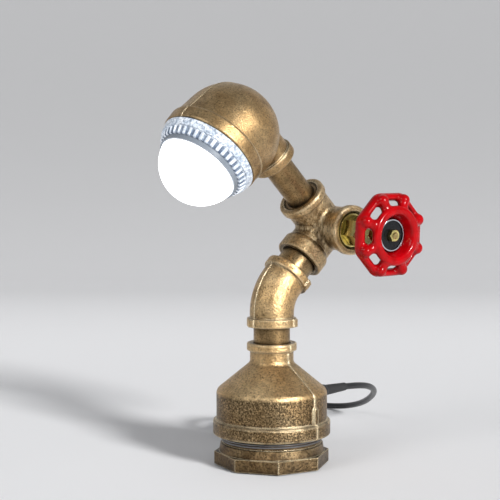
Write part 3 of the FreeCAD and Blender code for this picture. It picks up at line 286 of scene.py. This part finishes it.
def cast_bronze(name, grain, relief, dirt, brown, gold=(0.60, 0.42, 0.22), reach=6.0, edge=1.6,
                dented=None, zone=None):
    """Bronze paint on rough cast iron, with painted shade in the recesses and rubbed bright on the
    edges.

    grain, relief: size and height of the sand grains    dirt: share of dark between them
    brown, gold: the paint's darkest and brightest colour
    reach: how far into a recess the painted shade reaches    edge: width of the rubbed edges
    dented: middle, in metres, and radius of the part that is dented and brushed
    zone: two heights, between which the wall is dark with grit
    """
    s = Shader(name)
    sand = s.noise(size=grain, rough=0.6)
    fine = s.noise(size=grain * 0.45, detail=1.5)
    patch = s.noise(size=9.0, detail=4.0, rough=0.6)
    sharp, rounded = s.edges(edge)
    tone = bronze_paint(s, sand, patch, brown, gold)
    lie = s.bump(sand, depth=relief, under=rounded)
    if dented:
        tone, lie = dented_part(s, tone, lie, *dented)
    dark = soot_and_shade_share(s, sand, fine, dirt, reach)
    if zone:
        dark = s.math("MAXIMUM", dark, dark_grit_zone(s, patch, *zone))
    worn = s.math("MULTIPLY", sharp, s.fade(patch, 0.36, 0.56, 0.25, 1.0))
    # Dirt between the grains, and painted shade in the recesses and creases.
    tone = s.mix(dark, tone, SOOT_AND_SHADE)
    tone = s.mix(s.fade(worn, 0.008, 0.05), tone, RUBBED)
    return s.surface(Base_Color=tone, Metallic=0.9, Roughness=s.fade(patch, 0.3, 0.7, 0.40, 0.31),
                     Normal=s.bump(fine, depth=0.35 * relief, under=lie))


def pipe_bronze(name, bright):
    """Satin bronze paint on drawn pipe, darker than the fittings, with painted shade near them."""
    s = Shader(name)
    speck, hollow_shade = (0.045, 0.026, 0.012), (0.020, 0.012, 0.006)
    fine = s.noise(size=0.9, detail=2.0)
    patch = s.noise(size=8.0)
    tone = s.mix(s.fade(patch, 0.32, 0.68), dimmed(bright, 0.50), bright)
    tone = s.mix(s.fade(fine, 0.34, 0.50, 0.75, 0.0), tone, speck)
    # Painted shade: darker where walls stand within 5 mm.
    tone = s.mix(s.fade(s.crevice(reach=5.0), 0.2, 0.95, smooth=True), hollow_shade, tone)
    return s.surface(Base_Color=tone, Metallic=0.9, Roughness=s.fade(patch, 0.3, 0.7, 0.42, 0.32),
                     Normal=s.bump(fine, depth=0.10, under=s.bump(patch, depth=0.25)))


# ------------------------------------------------------------ other materials
def brass(name, tone, rough):
    """Machined yellow brass, with painted shade where it sits low."""
    s = Shader(name)
    hollow_shade = (0.07, 0.045, 0.010)
    patch = s.noise(size=4.0, detail=2.0)
    fine = s.noise(size=0.35, detail=1.0)
    colour = s.mix(s.fade(patch, 0.35, 0.7), dimmed(tone, 0.62), tone)
    # Painted shade where walls stand within 2.5 mm.
    colour = s.mix(s.fade(s.crevice(reach=2.5), 0.2, 0.8), hollow_shade, colour)
    return s.surface(Base_Color=colour, Metallic=1.0,
                     Roughness=s.fade(patch, 0.3, 0.7, rough + 0.10, rough),
                     Normal=s.bump(fine, depth=0.02, under=s.bump(patch, depth=0.10)))


def enamel(name):
    """Thick gloss enamel over a cast wheel, run soft over every crease, with painted shade in its
    hollows.
    """
    s = Shader(name)
    thick, thin, hollow_shade = (0.29, 0.0, 0.001), (0.43, 0.0, 0.003), (0.060, 0.0, 0.0005)
    peel = s.noise(size=2.4, detail=1.0)
    swell = s.noise(size=7.0, detail=1.5)
    tone = s.mix(s.fade(swell, 0.3, 0.7), thick, thin)
    # Painted shade: dark crimson where walls stand within 8 mm.
    tone = s.mix(s.fade(s.crevice(reach=8.0), 0.20, 0.85), hollow_shade, tone)
    return s.surface(Base_Color=tone, Roughness=0.25, Coat_Weight=0.25, Coat_Roughness=0.03,
                     Specular_IOR_Level=0.1,
                     Normal=s.bump(peel, depth=0.04, under=s.bump(swell, depth=0.22)))


def dark_disc(name, centre, axis, radius):
    """Gloss plate painted near black, a painted dark reflection, with a bright metal line round its
    rim.
    """
    s = Shader(name)
    # The near-black face is a painted dark reflection; the line round the rim is bright metal.
    black, grey, line = (0.003, 0.003, 0.004), (0.010, 0.011, 0.013), (0.62, 0.65, 0.70)
    rim = s.fade(s.math("DIVIDE", s.distance(centre, axis), radius), 0.90, 0.93)
    fine = s.noise(size=0.8, detail=2.0)
    tone = s.mix(rim, s.mix(s.fade(fine, 0.4, 0.6), black, grey), line)
    return s.surface(Base_Color=tone, Metallic=rim, Roughness=0.16, Specular_IOR_Level=0.25,
                     Normal=s.bump(fine, depth=0.03))


def plastic(name, tone, rough, grain=0.5, depth=0.02):
    """Moulded plastic or rubber with a fine grain."""
    s = Shader(name)
    fine = s.noise(size=grain, detail=2.0)
    broad = s.noise(size=12.0, detail=2.0)
    colour = s.mix(s.fade(broad, 0.3, 0.7), dimmed(tone, 0.86), tone)
    return s.surface(Base_Color=colour, Normal=s.bump(fine, depth),
                     Roughness=s.fade(fine, 0.3, 0.7, rough + 0.06, rough - 0.04))


def metal(name, tone, rough):
    """Plain bright metal, a little dull in patches."""
    s = Shader(name)
    fine = s.noise(size=0.4, detail=2.0)
    patch = s.noise(size=4.0)
    colour = s.mix(s.fade(patch, 0.3, 0.7), dimmed(tone, 0.72), tone)
    return s.surface(Base_Color=colour, Metallic=1.0, Normal=s.bump(fine, depth=0.02),
                     Roughness=s.fade(fine, 0.3, 0.7, rough + 0.1, rough))


def ceramic(name):
    """Off-white unglazed porcelain."""
    s = Shader(name)
    dull, bright = (0.70, 0.68, 0.62), (0.82, 0.81, 0.76)
    fine = s.noise(size=0.6)
    colour = s.mix(s.fade(fine, 0.3, 0.7), dull, bright)
    return s.surface(Base_Color=colour, Roughness=0.5, Normal=s.bump(fine, depth=0.04))


def stripes_round(s, away, axis, side, count):
    """Stripes along an axis, evenly round it, from 0 to 1; one at 1 lies on the given side."""
    x = s.vector("DOT_PRODUCT", away, side, output="Value")
    y = s.vector("DOT_PRODUCT", away, axis.cross(side), output="Value")
    angle = s.math("MULTIPLY", s.math("ARCTAN2", y, x), float(count))
    wave = s.math("MULTIPLY", s.math("ADD", s.math("COSINE", angle), 1.0), 0.5)
    return s.fade(wave, 0.35, 0.65)


def clear_ring(name, centre, axis, side, teeth, rim_end):
    """Clear moulded plastic with a painted glow, as if lit from behind: a specked rim, then teeth
    in painted glints and shade.

    centre, axis: a place on the ring's axis, and the way the axis runs
    side: way from the axis to a stripe of painted glint    rim_end: end of the rim, from the centre
    """
    s = Shader(name)
    rim_dull, rim_bright, rim_speck = (0.50, 0.58, 0.68), (0.88, 0.92, 0.97), (0.13, 0.17, 0.24)
    tooth_shade, tooth_glint, haze = (0.07, 0.10, 0.16), (0.84, 0.89, 0.97), (0.30, 0.36, 0.44)
    away = s.away(centre)
    height = s.vector("DOT_PRODUCT", away, axis, output="Value")
    past_rim = s.ramp_mm(height, [(rim_end, 0.0), (rim_end + 0.5, 1.0)])
    stripe = stripes_round(s, away, axis, side, teeth)
    speck = s.noise(size=1.6, rough=0.65)
    patch = s.noise(size=4.0, detail=2.0)
    rim = s.mix(s.fade(patch, 0.35, 0.65), rim_dull, rim_bright)
    rim = s.mix(s.fade(speck, 0.40, 0.54, 0.85, 0.0), rim, rim_speck)
    # Painted glints on the teeth and painted shade between them.
    tooth = s.mix(stripe, tooth_shade, tooth_glint)
    tooth = s.mix(s.fade(patch, 0.40, 0.60, 0.55, 0.0), tooth, haze)
    tone = s.mix(past_rim, rim, tooth)
    # The ring's glow is painted: it gives out light in the pattern of its colour.
    return s.surface(Base_Color=tone, Roughness=s.fade(speck, 0.38, 0.62, 0.34, 0.10), IOR=1.5,
                     Transmission_Weight=0.2, Coat_Weight=0.5, Emission_Color=tone,
                     Emission_Strength=0.34, Normal=s.bump(speck, depth=0.25))


def lit_dome(name):
    """Opal dome with the light on."""
    s = Shader(name)
    return s.surface(Base_Color=(0.96, 0.97, 1.0), Roughness=0.25,
                     Emission_Color=(0.97, 0.985, 1.0), Emission_Strength=2.6)


def led_board(name):
    """White board with its diodes on."""
    s = Shader(name)
    dull, bright = (0.80, 0.80, 0.77), (0.90, 0.90, 0.88)
    fine = s.noise(size=1.5, detail=1.0)
    colour = s.mix(s.fade(fine, 0.3, 0.7), dull, bright)
    return s.surface(Base_Color=colour, Roughness=0.35, Emission_Color=(1.0, 0.98, 0.92),
                     Emission_Strength=1.5)


# ------------------------------------------------------------ what each node is made of
DENTED_R = 26.0               # dented part of the corner fitting, from its middle
DARK_GRIT_HEIGHTS = (20.0, 54.0)  # zone on the bell, darker with grit, above the table
DISC_R = 11.7                 # plate in the middle of the handwheel
RING_TEETH = 44
RING_RIM_END = 46.1           # where the bulb ring's plain rim ends, from the head's middle

bell_cast = cast_bronze("bronze_bell", grain=1.5, relief=0.45, dirt=0.08, brown=(0.44, 0.30, 0.15),
                        edge=2.2, zone=DARK_GRIT_HEIGHTS)
foot_cast = cast_bronze("bronze_foot", grain=1.5, relief=0.8, dirt=0.3, brown=(0.13, 0.082, 0.038),
                        gold=(0.27, 0.185, 0.095), edge=0.9)
head_cast = cast_bronze("bronze_head", grain=1.1, relief=0.22, dirt=0.05,
                        brown=(0.34, 0.225, 0.11), gold=(0.54, 0.375, 0.195))
elbow_cast = cast_bronze("bronze_elbow", grain=1.3, relief=0.40, dirt=0.12,
                         brown=(0.42, 0.285, 0.14))
corner_cast = cast_bronze("bronze_corner", grain=1.4, relief=0.5, dirt=0.12,
                          brown=(0.40, 0.275, 0.14), gold=(0.66, 0.485, 0.275), reach=9.0,
                          dented=(CORNER, DENTED_R))
arm_pipe = pipe_bronze("bronze_arm", bright=(0.42, 0.275, 0.125))
pipe = pipe_bronze("bronze_pipe", bright=(0.54, 0.375, 0.185))
valve_brass = brass("valve_brass", tone=(0.97, 0.82, 0.32), rough=0.14)
stem_brass = brass("stem_brass", tone=(0.70, 0.52, 0.22), rough=0.2)
red_enamel = enamel("red_enamel")
black_nylon = plastic("black_nylon", (0.016, 0.016, 0.018), rough=0.38)
black_rubber = plastic("black_rubber", (0.02, 0.02, 0.021), rough=0.6, depth=0.05)
black_cord = plastic("black_cord", (0.013, 0.013, 0.015), rough=0.33, grain=0.8, depth=0.03)
white_plastic = plastic("white_plastic", (0.80, 0.80, 0.77), rough=0.35)
pvc = plastic("lead_pvc", (0.62, 0.62, 0.58), rough=0.4)
nickel = metal("nickel", (0.72, 0.70, 0.66), rough=0.18)
zinc = metal("zinc_plate", (0.60, 0.61, 0.62), rough=0.3)
aluminium = metal("cap_aluminium", (0.74, 0.74, 0.74), rough=0.28)
thread_steel = metal("thread_steel", (0.42, 0.42, 0.43), rough=0.3)
collar_grey = plastic("collar_grey", (0.22, 0.25, 0.29), rough=0.28)
disc_black = dark_disc("disc_black", CORNER, WHEEL_AXIS, DISC_R)
ring_clear = clear_ring("ring_clear", HEAD, MOUTH, ARM, RING_TEETH, RING_RIM_END)
dome_lit = lit_dome("dome_lit")
board = led_board("led_board_white")
holder_ceramic = ceramic("holder_ceramic")

LOOKS = {
    foot_cast: ["foot_bush"],
    bell_cast: ["bell_reducer"],
    head_cast: ["head_elbow"],
    elbow_cast: ["elbow_45"],
    corner_cast: ["corner_fitting"],
    pipe: ["elbow_nipple"],
    arm_pipe: ["base_nipple", "arm_nipple", "arm_bush"],
    valve_brass: ["valve_bonnet", "packing_nut", "wheel_nut"],
    stem_brass: ["valve_stem", "bulb_contact"],
    red_enamel: ["handwheel"],
    black_nylon: ["cord_gland", "gland_locknut", "plug_body", "rotary_switch"],
    black_rubber: ["foot_pad", "cord_boot"],
    black_cord: ["cord", "cord_coil"],
    white_plastic: ["terminal_block", "bulb_housing", "packing_ring"],
    pvc: ["base_lead", "inlet_lead", "elbow_lead", "corner_lead", "head_lead"],
    nickel: ["plug_pins"],
    zinc: ["holder_plate", "holder_screws"],
    disc_black: ["wheel_disc"],
    aluminium: ["bulb_cap"],
    holder_ceramic: ["lamp_holder"],
    collar_grey: ["bulb_collar"],
    ring_clear: ["bulb_ring"],
    dome_lit: ["bulb_dome"],
    board: ["led_board"],
}
for look, names in LOOKS.items():
    for name in names:
        data = nodes[name].data
        data.materials.clear()
        data.materials.append(look)


# ------------------------------------------------------------ soft creases of the handwheel
def modifier(name, title, kind, **settings):
    """A modifier on a CAD node, after those that it has."""
    made = nodes[name].modifiers.new(title, kind)
    for key, value in settings.items():
        setattr(made, key, value)


def run_soft(name, voxel, fillet, coat):
    """Creases of a casting filled to a radius, under a coat of thick paint."""
    modifier(name, "skin", "REMESH", mode="VOXEL", voxel_size=voxel * MM)
    modifier(name, "grow", "DISPLACE", strength=fillet * MM, mid_level=0.0)
    modifier(name, "merge", "REMESH", mode="VOXEL", voxel_size=voxel * MM, use_smooth_shade=True)
    modifier(name, "relax", "SMOOTH", factor=0.5, iterations=8)
    modifier(name, "shrink", "DISPLACE", strength=(coat - fillet) * MM, mid_level=0.0)
    modifier(name, "soft", "SMOOTH", factor=0.5, iterations=6)


run_soft("handwheel", voxel=0.5, fillet=1.8, coat=0.5)


# ------------------------------------------------------------ objects and meshes
def add_object(name, data):
    """An object of the scene, at the origin."""
    made = bpy.data.objects.new(name, data)
    bpy.context.scene.collection.objects.link(made)
    return made


def mesh_from(name, form):
    """Mesh in metres of a form in millimetres, which is freed."""
    mesh = bpy.data.meshes.new(name)
    form.to_mesh(mesh)
    form.free()
    mesh.transform(Matrix.Scale(MM, 4))
    return mesh


def new_piece(name, mesh, material, body, sharp):
    """A mesh object that rides on a body; sharp is the angle from which an edge stays an edge."""
    mesh.materials.append(material)
    mesh.shade_smooth()
    mesh.set_sharp_from_angle(angle=math.radians(sharp))
    made = add_object(name, mesh)
    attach(made, body)
    return made


# ------------------------------------------------------------ foot thread
THREAD_ROOT_R = 36.4          # just inside the foot's plain cylinder
THREAD_CREST_R = 37.35
THREAD_LOW = 17.0
THREAD_HIGH = 24.0
THREAD_PITCH = 1.9
THREAD_SECTIONS = 96          # in one turn
THREAD_RUN_OUT = 14           # sections over which each end of the thread sinks away
THREAD_PROFILE = [(0.0, 0.0), (1.0, 0.36), (1.0, 0.50), (0.0, 0.86)]  # shares of height and pitch


def thread_mesh(name):
    """Helical thread between two levels, closed at both ends."""
    turns = (THREAD_HIGH - THREAD_LOW) / THREAD_PITCH - 1.0
    last = int(turns * THREAD_SECTIONS)
    form = bmesh.new()
    sections = []
    for i in range(last + 1):
        angle = 2 * math.pi * i / THREAD_SECTIONS
        fade = min(1.0, i / THREAD_RUN_OUT, (last - i) / THREAD_RUN_OUT)
        section = []
        for height, rise in THREAD_PROFILE:
            r = THREAD_ROOT_R + (THREAD_CREST_R - THREAD_ROOT_R) * height * fade
            z = THREAD_LOW + THREAD_PITCH * (i / THREAD_SECTIONS + rise)
            section.append(form.verts.new((r * math.cos(angle), r * math.sin(angle), z)))
        sections.append(section)
    for a, b in zip(sections, sections[1:]):
        for j in range(len(THREAD_PROFILE)):
            k = (j + 1) % len(THREAD_PROFILE)
            form.faces.new((a[j], b[j], b[k], a[k]))
    form.faces.new(sections[0])
    form.faces.new(reversed(sections[-1]))
    bmesh.ops.recalc_face_normals(form, faces=form.faces)
    return mesh_from(name, form)


new_piece("foot_thread", thread_mesh("foot_thread"), thread_steel, "base", sharp=20)


# ------------------------------------------------------------ plug ribs
PLUG_Y = 92.0                 # the plug's axis, which runs along X
PLUG_Z = 21.0
PLUG_TOP = 27.0
RIB_R = 0.8
GRIP_X = -1.0                 # middle one of the ribs across the plug's top
GRIP_STEP = 3.0
GRIP_HALF_W = 6.5
GRIP_TAPER = 0.75             # half width that each rib away from the middle one loses
TAIL_X = -14.5                # first of the ribs round the plug's tail
TAIL_STEP = 2.4
TAIL_R = 5.1
TAIL_TAPER = 0.4              # radius that each rib after the first one loses


def beads_mesh(name, beads):
    """Ellipsoids, each given by its middle and its three half sizes."""
    form = bmesh.new()
    for middle, sizes in beads:
        place = Matrix.Translation(Vector(middle)) @ Matrix.Diagonal((*sizes, 1.0))
        bmesh.ops.create_uvsphere(form, u_segments=24, v_segments=16, radius=1.0, matrix=place)
    return mesh_from(name, form)


def rib_beads():
    """Five ribs across the plug's top, then three round its tail."""
    beads = []
    for i in range(-2, 3):
        half_width = GRIP_HALF_W - GRIP_TAPER * abs(i)
        beads.append(((GRIP_X + GRIP_STEP * i, PLUG_Y, PLUG_TOP), (RIB_R, half_width, RIB_R)))
    for i in range(3):
        radius = TAIL_R - TAIL_TAPER * i
        beads.append(((TAIL_X - TAIL_STEP * i, PLUG_Y, PLUG_Z), (RIB_R, radius, radius)))
    return beads


plug_ribs = new_piece("plug_ribs", beads_mesh("plug_ribs", rib_beads()), black_nylon, "base",
                      sharp=60)


# ------------------------------------------------------------ cord
CORD_R = 2.5
CORD_START = (57.63, 57.63, 47.5)
CORD_ROUTE = [                # from the gland, down to the table and round to the coil
    (73.5, 73.0, 46.5),
    (85.0, 103.0, 38.0),
    (87.0, 139.0, 25.5),
    (80.0, 174.0, 12.0),
    (64.0, 203.0, 3.8),
    (38.0, 220.0, 2.5),
    (2.0, 215.0, 2.5),
    (-24.0, 189.0, 2.5),
    (-31.0, 159.0, 2.5),
]
COIL_CENTRE = Vector((0.0, 112.0, 0.0))
COIL_RADII = (31.5, 26.5, 21.5, 21.5, 26.5, 31.5, 31.5, 26.5, 21.5)
TURNS_A_LAYER = 3
POINTS_A_TURN = 16
POINTS_SHORT = 4              # by which the last turn stops short
COIL_HEADING = 172.0          # where the first turn starts, from +X towards +Y
MOVE_FROM = 0.6               # share of a turn after which it moves over to the next
PLUG_LOOP = [                 # from the end of the coil, over it, to the plug
    (3.4, 133.7, 12.9),
    (-5.6, 134.2, 15.0),
    (-13.2, 133.9, 17.6),
    (-22.4, 133.7, 18.4),
    (-29.0, 131.7, 18.5),
    (-34.6, 127.7, 18.3),
    (-38.6, 122.1, 17.9),
    (-40.6, 115.5, 17.6),
    (-40.3, 108.5, 17.6),
    (-37.8, 102.1, 17.9),
    (-33.3, 96.9, 18.5),
    (-27.3, 93.3, 19.4),
    (-21.3, 92.0, 20.3),
    (-15.0, 92.0, 21.0),
    (-11.0, 92.0, 21.0),
]


def coil_points():
    """Nine turns in three layers, the first from the outside in; the last stops short.

    The points stand a little outside the turns, because the line runs inside its control points.
    """
    points = []
    last_turn = len(COIL_RADII) - 1
    bulge = 1.0 / math.cos(math.pi / POINTS_A_TURN) ** 0.5
    for i in range(len(COIL_RADII) * POINTS_A_TURN - POINTS_SHORT):
        turn, part = divmod(i, POINTS_A_TURN)
        after = min(turn + 1, last_turn)
        share = max(0.0, part / POINTS_A_TURN - MOVE_FROM) / (1 - MOVE_FROM)
        radius = COIL_RADII[turn] + (COIL_RADII[after] - COIL_RADII[turn]) * share
        layer, next_layer = turn // TURNS_A_LAYER, after // TURNS_A_LAYER
        level = CORD_R * (1 + 2 * (layer + (next_layer - layer) * share))
        heading = math.radians(COIL_HEADING + 360.0 * i / POINTS_A_TURN)
        out = Vector((math.cos(heading), math.sin(heading), 0)) * radius * bulge
        points.append(COIL_CENTRE + out + Vector((0, 0, level)))
    return points


def cord_curve(name):
    """The whole cord as one smooth line, from the gland to the plug."""
    route = [Vector(p) for p in (CORD_START, *CORD_ROUTE, *coil_points(), *PLUG_LOOP)]
    data = bpy.data.curves.new(name, "CURVE")
    data.dimensions = "3D"
    spline = data.splines.new("NURBS")
    spline.points.add(len(route) - 1)
    for point, place in zip(spline.points, route):
        point.co = (*(place * MM), 1)
    spline.order_u = 3
    spline.use_endpoint_u = True
    spline.resolution_u = 6
    data.bevel_depth = CORD_R * MM
    data.bevel_resolution = 5
    data.use_fill_caps = True
    data.materials.append(black_cord)
    return add_object(name, data)


mains_cord = cord_curve("mains_cord")
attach(mains_cord, "base")
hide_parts("cord", "cord_coil")

# ------------------------------------------------------------ stage
FLOOR_W = 16000.0
FLOOR_FRONT = -8000.0
FLOOR_BACK = 2200.0
BACKDROP_H = 3500.0
BACKDROP_BEND_R = 1000.0      # between floor and backdrop
BEND_STEPS = 12
FLOOR_PALE = (0.84, 0.84, 0.85)
BACKDROP_GREY = (0.33, 0.33, 0.335)


def floor_outline():
    """The floor and backdrop from the side, front first, as Y and Z."""
    flat_end = FLOOR_BACK - BACKDROP_BEND_R
    outline = [(FLOOR_FRONT, 0.0), (flat_end, 0.0)]
    for i in range(1, BEND_STEPS + 1):
        angle = math.pi / 2 * i / BEND_STEPS
        outline.append((flat_end + BACKDROP_BEND_R * math.sin(angle),
                        BACKDROP_BEND_R - BACKDROP_BEND_R * math.cos(angle)))
    outline.append((FLOOR_BACK, BACKDROP_H))
    return outline


def floor_paint(name):
    """Matt paint, pale round the lamp and grey towards the backdrop."""
    s = Shader(name)
    depth = s.math("DIVIDE", s.along("Y"), FLOOR_BACK)
    shade = s.fade(depth, 0.25, 0.95, FLOOR_PALE, BACKDROP_GREY, smooth=True)
    return s.surface(Base_Color=shade, Roughness=0.9, Specular_IOR_Level=0.1)


def stage_floor(name):
    """Pale floor that curves up into the backdrop."""
    outline = floor_outline()
    form = bmesh.new()
    left, right = [[form.verts.new((x, y, z)) for y, z in outline]
                   for x in (-FLOOR_W / 2, FLOOR_W / 2)]
    for i in range(len(outline) - 1):
        form.faces.new((left[i], right[i], right[i + 1], left[i + 1]))
    mesh = mesh_from(name, form)
    mesh.shade_smooth()
    mesh.materials.append(floor_paint(name))
    floor = add_object(name, mesh)


stage_floor("studio_floor")

# ------------------------------------------------------------ lights
KEY_FROM = (800, -950, 620)
KEY_TO = (0, 0, 140)
KEY_WIDTH = 12.9              # of the sun's disc
KEY_POWER = 4.2               # watts a square metre
FILL_FROM = (-900, -900, 900)
FILL_TO = (0, 0, 120)
FILL_WIDTH = 26.0
FILL_POWER = 0.55
SKY_COLOUR = (0.78, 0.80, 0.83)
SKY_STRENGTH = 0.26


def sun_light(name, place, target, width, power):
    """Soft light from far away, equally bright all over the floor."""
    data = bpy.data.lights.new(name, "SUN")
    data.angle = math.radians(width)
    data.energy = power
    made = add_object(name, data)
    made.location = Vector(place) * MM
    made.rotation_euler = (Vector(target) - Vector(place)).to_track_quat("-Z", "Y").to_euler()


def sky():
    """Even light from every side."""
    world = bpy.data.worlds.new("studio")
    world.use_nodes = True
    background = world.node_tree.nodes["Background"]
    background.inputs["Color"].default_value = (*SKY_COLOUR, 1)
    background.inputs["Strength"].default_value = SKY_STRENGTH
    bpy.context.scene.world = world


sun_light("key", KEY_FROM, KEY_TO, KEY_WIDTH, KEY_POWER)
sun_light("fill", FILL_FROM, FILL_TO, FILL_WIDTH, FILL_POWER)
sky()

# ------------------------------------------------------------ camera
CAMERA_PLACE = Vector((-13.04, -1016.28, 236.66))
CAMERA_DOWN = 4.38            # tilt below the horizon
CAMERA_LEFT = 0.17            # turn from +Y towards -X
CAMERA_SENSOR = 36.0
CAMERA_LENS = 99.97
CLIP_START = 50.0
CLIP_END = 20000.0


def camera():
    """Camera in front of the lamp, looking a little down."""
    data = bpy.data.cameras.new("camera")
    data.sensor_width = CAMERA_SENSOR
    data.lens = CAMERA_LENS
    data.clip_start = CLIP_START * MM
    data.clip_end = CLIP_END * MM
    made = add_object("camera", data)
    made.location = CAMERA_PLACE * MM
    made.rotation_euler = (math.radians(90 - CAMERA_DOWN), 0, math.radians(CAMERA_LEFT))
    bpy.context.scene.camera = made


camera()
bpy.context.scene.view_settings.view_transform = "Standard"
